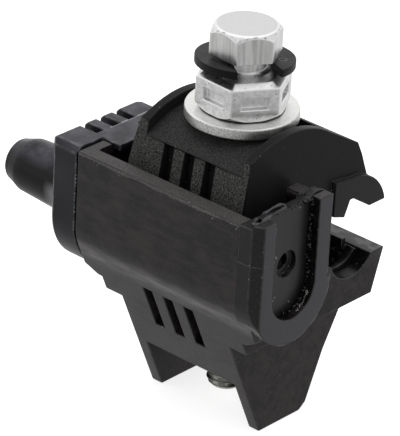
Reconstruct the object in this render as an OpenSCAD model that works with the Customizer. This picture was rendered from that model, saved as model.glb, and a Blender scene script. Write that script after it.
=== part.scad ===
// Insulation piercing branch clamp for overhead bundled conductors, shown open.
// X runs along both conductors, with the wire entry at +X and the end cap at -X.
// The branch trough lies at -Y and the main line channel at +Y.
// Z is the clamp bolt's axis, and Z = 0 is the level of the leg bottoms.

/* [Bolt, washer and nut] */
// Nominal thread diameter of the stud and the nut
thread_d = 8; // [6:0.5:8]
// Height of the stud's lower end above the leg bottoms
stud_end_z = 3; // [2:0.1:6]
// Width across flats of the captive nut
nut_af = 13; // [12:0.5:14]
// Height of the captive nut
nut_h = 6.4; // [5:0.1:6.6]
// Outer diameter of the flat washer
washer_d = 22.8; // [19:0.1:23.6]
// Thickness of the flat washer
washer_t = 2.4; // [1.6:0.1:3]

/* [Shear head] */
// Width across flats of the large hexagon that stays on the bolt
base_af = 17; // [15:0.5:18]
// Height of the large hexagon
base_h = 8; // [6:0.1:10]
// Width across flats of the small hexagon that breaks off
head_af = 13; // [11:0.5:14]
// Height of the small hexagon
head_h = 6; // [5:0.1:10]
// Diameter of the breaking neck
neck_d = 8.4; // [7:0.1:9]
// Height of the breaking neck
neck_h = 3.4; // [3:0.1:5]
// Turn of both hexagons about the bolt axis
hex_turn = -3; // [-30:1:30]
// Length of the moulded pocket in each flat of the large hexagon
pocket_l = 5.4; // [3:0.1:6]
// Height of that pocket
pocket_h = 2.4; // [1:0.1:3]
// Outer diameter of the split ring round the neck
ring_d = 19.9; // [16:0.1:22]
// Bore of the split ring
ring_bore = 11; // [10:0.1:12]
// Thickness of the split ring
ring_t = 1.6; // [1.2:0.1:2]
// Width of the ring's gap at its inner edge
ring_gap = 6.8; // [4:0.1:8]
// Direction of the ring's gap about the bolt axis
ring_turn = -30; // [-180:1:180]

/* [Branch trough] */
// Branch channel's axis from the bolt axis
branch_y = -11; // [-13:0.1:-10.5]
// Branch channel's axis above the leg bottoms
branch_z = 37.6; // [36:0.1:40]
// Outer radius of the trough's round floor
barrel_r = 11; // [10:0.1:12]
// Wall of the trough
trough_wall = 3.5; // [3:0.1:4]
// Level of the trough's top edge
trough_top = 54.2; // [50:0.1:58]
// Length of the trough's side wall
trough_l = 45.6; // [42:0.1:54]
// Thickness of the wall at the cap end
end_wall_t = 2.4; // [1.5:0.1:3]
// Thickness of the U-shaped frame at the entry end
frame_t = 2.2; // [1.5:0.1:4]
// Half width of the opening in that frame
frame_open_r = 6.3; // [5.5:0.1:6.6]
// Width of the bevel on the frame's outer edge
frame_bevel = 1.3; // [0.5:0.1:2.5]

/* [Main jaw, block and legs] */
// Main channel's axis from the bolt axis
main_y = 19.1; // [18:0.1:22]
// Main channel's axis above the leg bottoms
main_z = 33; // [32:0.1:35]
// Radius of the half-round main channel
main_r = 6.8; // [6:0.1:7.2]
// Length of the jaw along the line
jaw_l = 30.2; // [30.2:0.1:34]
// Thickness of the jaw's outer lip
lip_t = 4.2; // [2:0.1:5]
// Thickness under the channel
floor_t = 6.2; // [6:0.1:8]
// Distance over the two legs
leg_span = 29; // [26:0.1:29.6]
// Thickness of a leg
leg_t = 2.7; // [2:0.1:4]
// Foot of a leg on the branch side
foot_out = 6; // [4:0.1:7]
// Foot of a leg on the main side
foot_in = 7.6; // [6:0.1:9]
// Level of the nut block's underside
block_z = 11.8; // [10:0.1:12.4]
// Width of the slots in the leaning wall
slot_w = 2.4; // [1.5:0.1:2.6]
// Spacing of those slots
slot_pitch = 5.4; // [5.2:0.1:5.5]

/* [Cover] */
// Length of the cover along the conductors
cover_l = 28.6; // [27.5:0.1:29.2]
// Radius of the cover's arched rims
arch_r = 22.9; // [22:0.1:24]
// Level of the rims' crest
arch_top = 64.9; // [64:0.1:66]
// Thickness of each rim
rim_t = 2; // [1.5:0.1:2.2]
// Depth of the saddle between the rims
saddle_d = 2.4; // [1.5:0.1:3]
// Level of the washer's seat
seat_z = 63; // [62.7:0.1:64]
// Level of the presser's underside with the clamp open
presser_z = 46.5; // [46:0.1:48]
// Width of the grip grooves in the cover's side
groove_w = 2.3; // [1:0.1:3]
// Depth of the grip grooves
groove_d = 1.8; // [0.5:0.1:2.5]
// Spacing of the grip grooves
groove_pitch = 5.4; // [4:0.1:6]
// How far the hook stands out past each end of the cover
hook_over = 1.1; // [0.5:0.1:2]
// Outer radius of the hook
hook_r = 10.3; // [9.5:0.1:11]
// Level of the hook's lip with the clamp open
hook_z = 41; // [40.8:0.1:42]
// Depth of the V groove in the hook
vee_d = 3.4; // [2.5:0.1:4]
// Travel of the cover as the bolt is tightened
travel = 9.5; // [8:0.1:9.6]

/* [End cap] */
// Length of the cap's flange
flange_l = 7.6; // [7:0.1:10]
// Width of the flange across the trough
flange_w = 25.3; // [24:0.1:26]
// Level of the flange's top
flange_top = 54.5; // [54.3:0.1:58]
// Length of the nose's shank beyond the flange
shank_l = 14.2; // [12:0.1:24]
// Length of the nose's conical tip
tip_l = 4.1; // [3:0.1:6]
// Diameter of the nose at its root
nose_d = 12.9; // [12:0.1:13.6]
// Diameter of the nose where its tip begins
shank_d = 11.4; // [10:0.1:12]
// Diameter of the nose's flat end
tip_d = 9.2; // [6:0.1:10]
// Wall of the nose
nose_wall = 1.5; // [1:0.1:2]
// Width of the comb slots in the flange's top
comb_w = 2.1; // [1:0.1:2.5]
// Spacing of the comb slots
comb_pitch = 4.6; // [4:0.1:4.8]

/* [Entry seal] */
// Thickness of the seal plate
seal_t = 2; // [1.5:0.1:3]
// Diameter of the entry hole
entry_d = 5.5; // [4:0.1:6]
// Height of the entry hole above the branch axis
entry_rise = 5.5; // [3:0.1:6]

/* [Contact blades and pads] */
// Thickness of a blade
blade_t = 2.5; // [2:0.1:2.6]
// Distance of a blade's middle from the bolt axis
blade_x = 8.3; // [8:0.1:8.6]
// How far the teeth stand into a channel
tooth_out = 1.7; // [1:0.1:2]
// Teeth at each end of a blade
tooth_n = 4; // [3:1:6]
// Thickness of the elastomer pads round the teeth
pad_t = 1.5; // [1:0.1:1.8]
// Length of the pads along the conductors
pad_l = 23; // [22:0.1:24]

/* [Hidden] */
$fn = 64;

// Clearances
running_gap = 0.05;  // thread in nut, pieces held in their pockets
free_gap = 0.3;      // round faces that slide or turn past each other
slide_gap = 0.5;     // flat faces that slide past each other
over = 1;            // how far a cut runs past a face
big = 100;           // longer than anything here

// Levels along the bolt
washer_top = seat_z + washer_t;
base_top = washer_top + base_h;
neck_top = base_top + neck_h;
bore_r = thread_d / 2 + free_gap;
base_edge = 0.9;     // chamfers on top of the large hexagon, their height and width
base_edge_w = 1.6;
head_chamfer = 45;   // slope of the small hexagon's chamfer
flat_share = 0.475;  // radius of a hexagon's flat top as a share of its width
base_foot = 1.5;     // chamfer of the large hexagon's lower corners
pocket_d = 1.2;      // depth of the pockets in its flats
stud_cover = 1.5;    // metal of the head above the stud
neck_flare = 0.8;    // width and height of the neck's flared foot
neck_flare_h = 0.6;
ring_free = neck_h - ring_t;
ring_tilt = asin(0.95 * ring_free / ring_d);  // the loose ring rests on one side
ring_high = -58;     // direction of its raised side
nut_r = nut_af / sqrt(3) + over;
nut_chamfer = (nut_r - nut_af / 2) * tan(30);

// Trough
half_l = trough_l / 2;
trough_r = barrel_r - trough_wall;
wall_y = branch_y - barrel_r;
open_gap = 0.9;      // between the cover's ends and the trough's end posts
frame_rise = 0.8;    // entry frame's top over the trough's
post_rise = 0.75;    // frame's inner post over the rest of it
post_in = 0.9;       // and its side behind the trough's
frame_lift = 0.6;    // opening's round floor above the branch axis
bevel_drop = 6;      // start of the frame's bevel below the branch axis
stop_t = 1.2;        // rib behind the entry seal
stop_in = 0.8;
tower_r = bore_r + 1.4;
closed_gap = 1;      // left between hook and block when fully tightened
tower_top = presser_z - travel - 3 * closed_gap;

// The leaning wall runs from the foot to where it touches the barrel
foot_to_barrel = norm([branch_y + foot_out, branch_z]);
lean = atan2(-foot_out - branch_y, branch_z) + asin(barrel_r / foot_to_barrel);
lean_l = sqrt(foot_to_barrel * foot_to_barrel - barrel_r * barrel_r);
function lean_y(z) = -foot_out - z * tan(lean);

// Block, jaw and ledge
jaw_bottom = main_z - main_r - floor_t;
jaw_top = hook_z - travel - closed_gap - slide_gap - 0.4;
lip_angle = acos((main_z - jaw_top) / main_r);
lip_y = main_y + main_r * sin(lip_angle);
jaw_out = lip_y + lip_t;
jaw_lean = 3;
block_top = hook_z - travel - closed_gap;
leg_kink = 5;        // how far a leg widens up to the block's underside
leg_flare = 4.6;     // and how far from there up to the jaw
leg_out = foot_in + leg_kink + leg_flare;
ledge_z = 23.2;
ledge_step = 3.2;
ledge_x = leg_span / 2 + 4.3;
ledge_rise = 1.9;
slot_z0 = 19.3;
slot_z1 = 29.2;
slot_depth = 4;
slot_n = 3;
corner = 1.3;        // chamfer at the legs' inner feet

// Cover
half_cover = cover_l / 2;
half_hook = half_cover + hook_over;
arch_y = -2;
arch_z = arch_top - arch_r;
side_y = -13.2;      // top of the cover's gripping side
side_out = 2.4;      // how far that side leans out at the presser
side_top = arch_z + arch_r * cos(asin((side_y - arch_y) / arch_r));
roof_slope = 30.5;
roof_y = arch_y + arch_r * sin(roof_slope);
roof_z = arch_z + arch_r * cos(roof_slope);
roof_end = 9.8;      // run of the roof plane
eave_y = roof_y + roof_end;
eave_z = roof_z - roof_end * tan(roof_slope);
eave_in = 1.5;       // face under the roof's edge
eave_h = 3;
cover_back = eave_y + 3.4;
saddle_back = 8.7;
seat_r = 8.5;
skirt_out = 2.3;     // how far the presser widens towards the cap
skirt_steps = 8;
groove_n = 3;
groove_shift = -1;
groove_top = arch_z + (arch_r - saddle_d) * cos(asin((side_y - arch_y) / (arch_r - saddle_d))) - 0.5;

// Hook
hook_y = main_y - 1.2;
lip_in = main_y - 3.8;
lip_w = 3.5;
lip_slope = 1.2;     // rise of the inner lip's underside
vee_y0 = lip_in + vee_d * 0.45;
vee_y1 = vee_y0 + 1;
vee_y2 = vee_y1 + vee_d * 1.56;
hook_drop = 2.3;     // centre of the hook's back below its lip

// Guide tongue that keeps the cover square to the body
tongue_w = 10;
tongue_y = nut_af / sqrt(3) + 0.8;
tongue_t = 2.6;
tongue_end = block_top - 2;

// Cap
cap_gap = 0.6;
cap_x = -half_l - cap_gap;
flange_r = flange_w / 2;
cap_inset = 0.2;     // flange's side behind the trough's
flange_y = wall_y + cap_inset + flange_r;
nose_z = branch_z + 1.5;
comb_n = 3;
comb_l = 5.4;
comb_d = 3.4;
comb_y = branch_y - 1.7;
plate_l = 4.8;       // tongue plate over the trough's end wall
plate_t = 1.5;
plate_w = 10.2;
plate_y = branch_y - 3.4;
cap_bevel = 1.3;     // along the flange's outer top edge
rim_bevel = 0.9;     // round the flange's outer face, at its top and at its sides
side_bevel = 1.6;
spigot_r = nose_d / 2 - 0.5;
spigot_l = 3;
root_fillet = 1.3;
tip_round = 0.9;

// Entry seal
seal_rise = 1;       // plate's top over the trough's
pilot_r = entry_d / 2 - 1.1;
pilot_t = 0.7;       // skin with the pilot hole
lip_round = 3;       // radius of the folded lip's top
lip_rise = 2;
lip_shift = 0.75;    // fold's middle past the plate's side
lip_in_t = 0.6;      // fold's end behind the trough's side

// Blades and pads
pad_deg = 56;
tooth_deg = 42;
gap_deg = 1;         // running gap beside a tooth row, as an angle
root_in = 0.9;       // depth of the tooth roots below the channel's surface
pad_proud = 0.3;
blade_base = jaw_bottom + 1.8;
upper_blade_top = eave_z - 2.5;
bridge_in = 1.5;     // lower blades' bridge under the block's top
bridge_h = 3;        // upper blades' bridge above the presser's underside
blade_in = 2;        // a blade's corners inside the housing's faces
rib_w = 0.6;
rib_h = 0.6;
edge_rib = 1.2;      // width of the rib along the main pad's outer edge
edge_rise = 1.3;     // and its top over the jaw's

body_colour = "#262628";
soft_colour = "#313236";
steel_colour = "#b9bbb8";
cast_colour = "#c9cbcc";
tin_colour = "#a8a9a6";

// Extrudes a YZ outline along X
module along_x(x0, x1) {
    translate([x0, 0, 0]) rotate([90, 0, 90]) linear_extrude(height = x1 - x0) children();
}

// Extrudes an XZ outline along Y
module along_y(y0, y1) {
    translate([0, y1, 0]) rotate([90, 0, 0]) linear_extrude(height = y1 - y0) children();
}

// Block between two corners
module block(low, high) {
    translate(low) cube(high - low);
}

// Round bar along X
module bar_x(x0, x1, y, z, r0, r1) {
    translate([x0, y, z]) rotate([0, 90, 0]) cylinder(h = x1 - x0, r1 = r0, r2 = r1);
}

// U-shaped solid along X with a round floor
module u_bar(x0, x1, y, z, r, top) {
    bar_x(x0, x1, y, z, r, r);
    block([x0, y - r, z], [x1, y + r, top]);
}

// Part of a ring round a channel's axis, either side of straight down
module pad_arc(x0, x1, y, z, r_in, r_out, deg) {
    steps = 16;
    along_x(x0, x1) polygon(concat(
        [for (i = [0:steps]) let (a = deg * (2 * i / steps - 1)) [y + r_in * sin(a), z - r_in * cos(a)]],
        [for (i = [steps:-1:0]) let (a = deg * (2 * i / steps - 1))
            [y + r_out * sin(a), z - r_out * cos(a)]]));
}

// Points on a circle, from straight down
function down(y, z, r, a) = [y + r * sin(a), z - r * cos(a)];

// Row of teeth on an arc round a channel's axis
function arc_teeth(y, z, r_tip, r_root) = [for (i = [0:2 * tooth_n])
    down(y, z, i % 2 == 1 ? r_tip : r_root, tooth_deg * (i / tooth_n - 1))];

// Row of teeth pointing down between two points
function flat_teeth(a, b, tip) = [for (i = [0:2 * tooth_n])
    a + (b - a) * i / (2 * tooth_n) - [0, i % 2 == 1 ? tip : 0]];

// The same arc without teeth, open to the channel and wider by the gap's angle
function arc_window(y, z, r_open, r_root) = concat(
    [down(y, z, r_root, -tooth_deg - gap_deg)],
    [for (i = [0:2 * tooth_n]) down(y, z, r_open, (tooth_deg + gap_deg) * (i / tooth_n - 1))],
    [down(y, z, r_root, tooth_deg + gap_deg)]);

// The same row without teeth, open downwards and wider by the gap
function flat_window(a, b, open_z, gap) =
    [a - [gap, 0], [a.x - gap, open_z], [b.x + gap, open_z], b + [gap, 0]];

// Outline of a lower blade, or of its slot: a bar with a tooth row or window under each channel
function lower_blade_points(branch_row, main_row, gap) = concat(branch_row,
    [[branch_y + barrel_r - 1, block_top - bridge_in + gap],
        [main_y - main_r - bridge_in, block_top - bridge_in + gap]],
    main_row, [[lip_y - blade_in + gap, blade_base - gap], [branch_y - blade_in - gap, blade_base - gap]]);

// Underside of the hook's V groove, from the inner lip to the outer lip
vee_points = [[lip_in, hook_z], [vee_y0, hook_z + vee_d], [vee_y1, hook_z + vee_d], [vee_y2, hook_z]];

// Root ends of the upper tooth rows, over the branch and over the main line
branch_root0 = [side_y - 0.2, presser_z + root_in];
branch_root1 = [-tower_r - 0.6, presser_z + root_in];
main_root0 = [vee_y0 - 1, hook_z + vee_d + root_in];
main_root1 = [vee_y1 + 2.2, hook_z + vee_d + root_in];

// Outline of an upper blade, or of its slot: a bar with a tooth row or window over each channel
function upper_blade_points(branch_row, main_row, gap) = concat(branch_row,
    [[-tower_r + gap, presser_z + bridge_h - gap], [lip_in - blade_in - gap, presser_z + bridge_h - gap]],
    main_row,
    [[vee_y1 + blade_in - 0.2 + gap, presser_z + 1], [eave_y - 2 * blade_in + gap, upper_blade_top + gap],
        [side_y + 1 - gap, upper_blade_top + gap]]);

module lower_body() color(body_colour) difference() {
    union() {
        difference() {
            union() {
                u_bar(-half_l, half_l, branch_y, branch_z, barrel_r, trough_top);
                leaning_block();
                shoulder();
                jaw();
                legs();
            }
            u_bar(-half_l + end_wall_t, half_l + over, branch_y, branch_z, trough_r, trough_top + over);
            cover_room();
            bar_x(-big / 2, big / 2, main_y, main_z, main_r, main_r);
            lower_pad_room(main_y, main_z, main_r);
            lower_pad_room(branch_y, branch_z, trough_r);
        }
        entry_frame();
        seal_stop();
        bolt_tower(0);
    }
    translate([0, 0, -over]) cylinder(h = big, r = bore_r);
    nut_shape(running_gap, over);
    guide_well();
    wall_slots();
    for (x = [-blade_x, blade_x]) lower_blade_slot(x);
    bar_x(-half_l - over, -half_l + end_wall_t + over, branch_y, nose_z,
        spigot_r + free_gap, spigot_r + free_gap);
    block([-half_l - over, plate_y - free_gap, flange_top - plate_t - free_gap],
        [-half_l + end_wall_t + over, plate_y + plate_w + free_gap, trough_top + over]);
}

// Tower round the bolt, beside the branch trough
module bolt_tower(gap) {
    translate([0, 0, branch_z - barrel_r]) cylinder(h = tower_top - branch_z + barrel_r, r = tower_r + gap);
}

// Nut block between the legs, with the leaning wall on the branch side
module leaning_block() {
    along_x(-leg_span / 2, leg_span / 2) polygon([
        [lean_y(block_z), block_z], [foot_in + leg_kink, block_z], [leg_out, jaw_bottom],
        [leg_out, block_top], [branch_y, block_top], [branch_y, branch_z],
        [-foot_out - lean_l * sin(lean), lean_l * cos(lean)]]);
}

// Ledge that carries the trough past the legs, with its raised ends
module shoulder() {
    intersection() {
        along_x(-half_l, half_l) polygon([
            [lean_y(ledge_z), ledge_z], [branch_y + barrel_r, ledge_z], [branch_y + barrel_r, branch_z],
            [branch_y, branch_z], [-foot_out - lean_l * sin(lean), lean_l * cos(lean)]]);
        along_y(wall_y - over, over) polygon([
            [-ledge_x, ledge_z], [ledge_x, ledge_z], [ledge_x, ledge_z + ledge_step],
            [ledge_x + 1, ledge_z + ledge_step], [half_l, ledge_z + ledge_step + ledge_rise],
            [half_l, branch_z], [-half_l, branch_z], [-half_l, ledge_z + ledge_step + ledge_rise],
            [-ledge_x - 1, ledge_z + ledge_step], [-ledge_x, ledge_z + ledge_step]]);
    }
}

// Lower half of the main line's jaw
module jaw() {
    along_x(-jaw_l / 2, jaw_l / 2) polygon([
        [0, jaw_bottom], [jaw_out - jaw_lean, jaw_bottom], [jaw_out, jaw_top], [main_y, jaw_top],
        [main_y, block_top], [0, block_top]]);
}

module legs() {
    for (side = [-1, 1])
        along_x(min(side * leg_span / 2, side * (leg_span / 2 - leg_t)),
            max(side * leg_span / 2, side * (leg_span / 2 - leg_t)))
            polygon([[-foot_out, 0], [foot_in - corner, 0], [foot_in + corner * 0.4, corner],
                [foot_in + leg_kink, block_z], [leg_out, jaw_bottom], [leg_out, ledge_z],
                [lean_y(ledge_z), ledge_z]]);
}

// Space the cover comes down into
module cover_room() {
    half = half_cover + open_gap;
    block([-half, branch_y, tower_top], [half, big, big]);
    block([-half, branch_y + barrel_r, block_top], [half, big, big]);
}

// U-shaped frame round the entry seal, bevelled on its outer edge
module entry_frame() {
    x0 = half_l;
    x1 = half_l + frame_t;
    difference() {
        union() {
            u_bar(x0, x1, branch_y, branch_z, barrel_r, trough_top + frame_rise);
            block([x0, branch_y, trough_top], [x1, branch_y + barrel_r, trough_top + frame_rise + post_rise]);
        }
        block([x0, branch_y + barrel_r - post_in, branch_z], [x1 + over, branch_y + barrel_r + over, big]);
        u_bar(x0 - over, x1 + over, branch_y, branch_z + frame_lift, frame_open_r, big);
        translate([0, 0, branch_z - bevel_drop]) linear_extrude(height = big)
            polygon([[x0, wall_y - over], [x0, wall_y], [x1, wall_y + frame_bevel],
                [x1 + over, wall_y + frame_bevel], [x1 + over, wall_y - over]]);
    }
}

// Rib inside the trough that the entry seal stands against
module seal_stop() {
    x1 = half_l - seal_t - running_gap;
    difference() {
        u_bar(x1 - stop_t, x1, branch_y, branch_z, trough_r + over, trough_top);
        u_bar(x1 - stop_t - over, x1 + over, branch_y, branch_z, trough_r - stop_in, trough_top + over);
    }
}

// Slots through the leaning wall
module wall_slots() {
    for (i = [0:slot_n - 1])
        translate([(i - (slot_n - 1) / 2) * slot_pitch, -foot_out, 0]) rotate([lean, 0, 0])
            block([-slot_w / 2, -over, slot_z0 / cos(lean)], [slot_w / 2, slot_depth, slot_z1 / cos(lean)]);
}

// Well for the cover's guide tongue
module guide_well() {
    w = tongue_w / 2 + free_gap;
    block([-w, tongue_y - free_gap, tongue_end - travel - slide_gap],
        [w, tongue_y + tongue_t + free_gap, big]);
}

module lower_blade_slot(x) {
    t = blade_t / 2 + running_gap;
    along_x(x - t, x + t) polygon(lower_blade_points(
        arc_window(branch_y, branch_z, trough_r - over, trough_r + root_in),
        arc_window(main_y, main_z, main_r - over, main_r + root_in), running_gap));
}

module lower_pad_room(y, z, r) {
    half = pad_l / 2 + running_gap;
    pad_arc(-half, half, y, z, r - over, r + pad_t - pad_proud + running_gap, pad_deg + 0.5);
}

module upper_body() color(body_colour) difference() {
    union() {
        difference() {
            along_x(-half_cover, half_cover) cover_outline();
            saddle();
            grip_grooves();
        }
        presser_skirt();
        along_x(-half_hook, half_hook) hook_outline();
        block([-tongue_w / 2, tongue_y, tongue_end], [tongue_w / 2, tongue_y + tongue_t, presser_z + over]);
        translate([0, 0, presser_z]) cylinder(h = seat_z - presser_z, r = seat_r);
    }
    translate([0, 0, presser_z - over]) cylinder(h = big, r = bore_r);
    for (x = [-blade_x, blade_x]) upper_blade_slot(x);
    upper_main_pad(running_gap);
    upper_branch_pad(running_gap);
}

// End view of the cover: gripping side, arched rim, roof and eave
module cover_outline() {
    steps = 24;
    a0 = asin((side_y - arch_y) / arch_r);
    polygon(concat(
        [[side_y - side_out, presser_z]],
        [for (i = [0:steps]) let (a = a0 + (roof_slope - a0) * i / steps)
            [arch_y + arch_r * sin(a), arch_z + arch_r * cos(a)]],
        [[eave_y, eave_z], [eave_y + eave_in, eave_z - eave_h],
            [cover_back, hook_z + hook_r - hook_drop - 0.9], [cover_back, presser_z]]));
}

// Skirt that widens the presser's end over the trough, towards the cap
module presser_skirt() {
    top = side_top + over;
    intersection() {
        along_x(-half_cover - skirt_out, -half_cover + over) cover_outline();
        along_y(-big / 2, branch_y + trough_r - slide_gap) polygon(concat(
            [for (i = [0:skirt_steps]) let (share = i / skirt_steps)
                [-half_cover - skirt_out * sin(90 * share), top + (presser_z - top) * share]],
            [[-half_cover + over, presser_z], [-half_cover + over, top]]));
    }
}

// Sunk saddle between the two rims, open on the gripping side
module saddle() {
    half = half_cover - rim_t;
    difference() {
        block([-half, -big / 2, presser_z - over], [half, saddle_back, big]);
        bar_x(-half - over, half + over, arch_y, arch_z, arch_r - saddle_d, arch_r - saddle_d);
    }
}

// Upright grooves in the gripping side
module grip_grooves() {
    tilt = atan2(side_out, side_top - presser_z);
    for (i = [0:groove_n - 1])
        translate([(i - (groove_n - 1) / 2) * groove_pitch + groove_shift, side_y - side_out, presser_z])
            rotate([-tilt, 0, 0])
                block([-groove_w / 2, -over, -over], [groove_w / 2, groove_d, groove_top - presser_z]);
}

// End view of the hook: rounded back, outer lip, V groove and inner lip
module hook_outline() {
    steps = 16;
    a0 = asin(hook_drop / hook_r);
    polygon(concat(
        [[lip_in - lip_w, hook_z + lip_slope]], vee_points,
        [for (i = [0:steps]) let (a = a0 + (90 - a0) * i / steps)
            [hook_y + hook_r * cos(a), hook_z - hook_drop + hook_r * sin(a)]],
        [[lip_in - lip_w, hook_z - hook_drop + hook_r + 0.8]]));
}

module upper_blade_slot(x) {
    t = blade_t / 2 + running_gap;
    along_x(x - t, x + t) polygon(upper_blade_points(
        flat_window(branch_root0, branch_root1, hook_z - over, running_gap),
        flat_window(main_root0, main_root1, hook_z - over, running_gap), running_gap));
}

// Pad over the V groove
module upper_main_pad(gap) {
    half = pad_l / 2 + gap;
    y0 = lip_in + 0.8;
    y3 = vee_y2 - 1;
    low = gap > 0 ? -over : -pad_proud;
    slope0 = vee_d / (vee_y0 - lip_in);
    slope1 = vee_d / (vee_y2 - vee_y1);
    lift = pad_t - pad_proud + gap;
    along_x(-half, half) polygon([
        [y0 - gap, hook_z + (y0 - lip_in) * slope0 + low], [vee_y0, hook_z + vee_d + low],
        [vee_y1, hook_z + vee_d + low], [y3 + gap, hook_z + (vee_y2 - y3) * slope1 + low],
        [y3 + gap, hook_z + (vee_y2 - y3) * slope1 + lift], [vee_y1, hook_z + vee_d + lift],
        [vee_y0, hook_z + vee_d + lift], [y0 - gap, hook_z + (y0 - lip_in) * slope0 + lift]]);
}

// Pad under the presser
module upper_branch_pad(gap) {
    half = pad_l / 2 + gap;
    low = gap > 0 ? over : pad_proud;
    block([-half, side_y - 1.2 - gap, presser_z - low],
        [half, -tower_r - 0.2 + gap, presser_z + pad_t - pad_proud + gap]);
}

module clamp_bolt() color(steel_colour) {
    r = thread_d / 2;
    rotate_extrude() polygon([[0, stud_end_z], [r - 1, stud_end_z], [r, stud_end_z + 1],
        [r, base_top - stud_cover], [0, base_top - stud_cover]]);
}

// Hexagonal prism on the bolt axis
module hexagon(af, z0, z1) {
    translate([0, 0, z0]) rotate([0, 0, hex_turn]) cylinder(h = z1 - z0, r = af / sqrt(3), $fn = 6);
}

// Large hexagon with a straight chamfer along each upper edge
module base_hexagon() {
    difference() {
        hexagon(base_af, washer_top, base_top);
        for (i = [0:5]) rotate([0, 0, hex_turn + 30 + 60 * i])
            translate([base_af / 2 - base_edge_w, -base_af / 2, base_top])
                rotate([0, atan2(base_edge, base_edge_w), 0]) translate([-over, 0, 0])
                    cube([base_af / 2, base_af, base_af / 2]);
    }
}

// Turned blank, wider than its hexagon, that rounds off the lower corners
module foot_blank(af, z0, z1, foot) {
    r = af / sqrt(3) + over;
    rotate_extrude() polygon([[0, z0], [r - foot - over, z0], [r, z0 + foot + over], [r, z1], [0, z1]]);
}

// Turned blank, wider than its hexagon, that chamfers the upper corners
module crown_blank(af, z0, z1, slope) {
    r = af / sqrt(3) + over;
    flat_r = af * flat_share;
    rotate_extrude() polygon([[0, z0], [r, z0], [r, z1 - (r - flat_r) * tan(slope)], [flat_r, z1], [0, z1]]);
}

module shear_head() color(cast_colour) {
    r = thread_d / 2 + running_gap;
    difference() {
        union() {
            intersection() {
                base_hexagon();
                foot_blank(base_af, washer_top, base_top + over, base_foot);
            }
            intersection() {
                hexagon(head_af, neck_top, neck_top + head_h);
                crown_blank(head_af, neck_top, neck_top + head_h, head_chamfer);
            }
            translate([0, 0, base_top - over]) cylinder(h = neck_h + 2 * over, d = neck_d);
            translate([0, 0, base_top])
                cylinder(h = neck_flare_h, r1 = neck_d / 2 + neck_flare, r2 = neck_d / 2);
        }
        translate([0, 0, washer_top - over]) cylinder(h = base_h - stud_cover + over + running_gap, r = r);
        for (i = [0:5]) rotate([0, 0, hex_turn + 30 + 60 * i])
            translate([base_af / 2 - pocket_d, -pocket_l / 2, washer_top + (base_h - pocket_h) / 2])
                cube([pocket_d + over, pocket_l, pocket_h]);
    }
}

// Split ring, loose round the neck, with one side on the base and the other raised
module split_ring() color(soft_colour) {
    r = ring_d / 2;
    flare = 1.4;
    translate([0, 0, base_top + ring_free / 2]) rotate([0, 0, ring_high]) rotate([0, -ring_tilt, 0])
        rotate([0, 0, ring_turn - ring_high]) difference() {
            cylinder(h = ring_t, r = r);
            translate([0, 0, -over]) cylinder(h = ring_t + 2 * over, d = ring_bore);
            translate([0, 0, -over]) linear_extrude(height = ring_t + 2 * over)
                polygon([[0, -ring_gap / 2], [r + over, -ring_gap / 2 - flare],
                    [r + over, ring_gap / 2 + flare], [0, ring_gap / 2]]);
        }
}

module washer() color(steel_colour) difference() {
    translate([0, 0, seat_z]) cylinder(h = washer_t, d = washer_d);
    translate([0, 0, seat_z - over]) cylinder(h = washer_t + 2 * over, r = bore_r);
}

// Hexagon of the nut, or of its pocket with a gap round it and an open mouth below
module nut_shape(gap, mouth) {
    translate([0, 0, block_z - mouth]) rotate([0, 0, 30])
        cylinder(h = nut_h + mouth + gap, r = nut_af / sqrt(3) + gap * 2 / sqrt(3), $fn = 6);
}

module captive_nut() color(steel_colour) difference() {
    intersection() {
        nut_shape(0, 0);
        translate([0, 0, block_z]) rotate_extrude() polygon([[0, 0], [nut_af / 2, 0], [nut_r, nut_chamfer],
            [nut_r, nut_h - nut_chamfer], [nut_af / 2, nut_h], [0, nut_h]]);
    }
    translate([0, 0, block_z - over]) cylinder(h = nut_h + 2 * over, r = thread_d / 2 + running_gap);
}

module end_cap() color(soft_colour) difference() {
    x0 = cap_x - flange_l;
    union() {
        difference() {
            flange();
            translate([x0 - over, flange_y - flange_r, flange_top]) rotate([45, 0, 0])
                translate([0, -big / 2, -cap_bevel * sqrt(0.5)]) cube([flange_l + 2 * over, big, big]);
            for (i = [0:comb_n - 1])
                translate([x0 - over, comb_y + i * comb_pitch - comb_w / 2, flange_top - comb_d])
                    cube([comb_l + over, comb_w, comb_d + over]);
        }
        block([cap_x - over, plate_y, flange_top - plate_t],
            [cap_x + plate_l, plate_y + plate_w, flange_top]);
        bar_x(cap_x - over, cap_x + spigot_l, branch_y, nose_z, spigot_r, spigot_r);
        nose();
    }
    nose_bore();
}

// Flange with a round floor, bevelled round its outer face
module flange() {
    x0 = cap_x - flange_l;
    x1 = x0 + side_bevel;
    y0 = flange_y - flange_r;
    y1 = flange_y + flange_r;
    bar_x(x0, x1, flange_y, branch_z, flange_r - side_bevel, flange_r);
    bar_x(x1, cap_x, flange_y, branch_z, flange_r, flange_r);
    intersection() {
        translate([0, 0, branch_z]) linear_extrude(height = flange_top - branch_z) polygon([
            [x0, y0 + side_bevel], [x1, y0], [cap_x, y0], [cap_x, y1], [x1, y1], [x0, y1 - side_bevel]]);
        along_y(y0 - over, y1 + over) polygon([[x0, branch_z - over], [cap_x, branch_z - over],
            [cap_x, flange_top], [x0 + rim_bevel, flange_top], [x0, flange_top - rim_bevel]]);
    }
}

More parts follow.
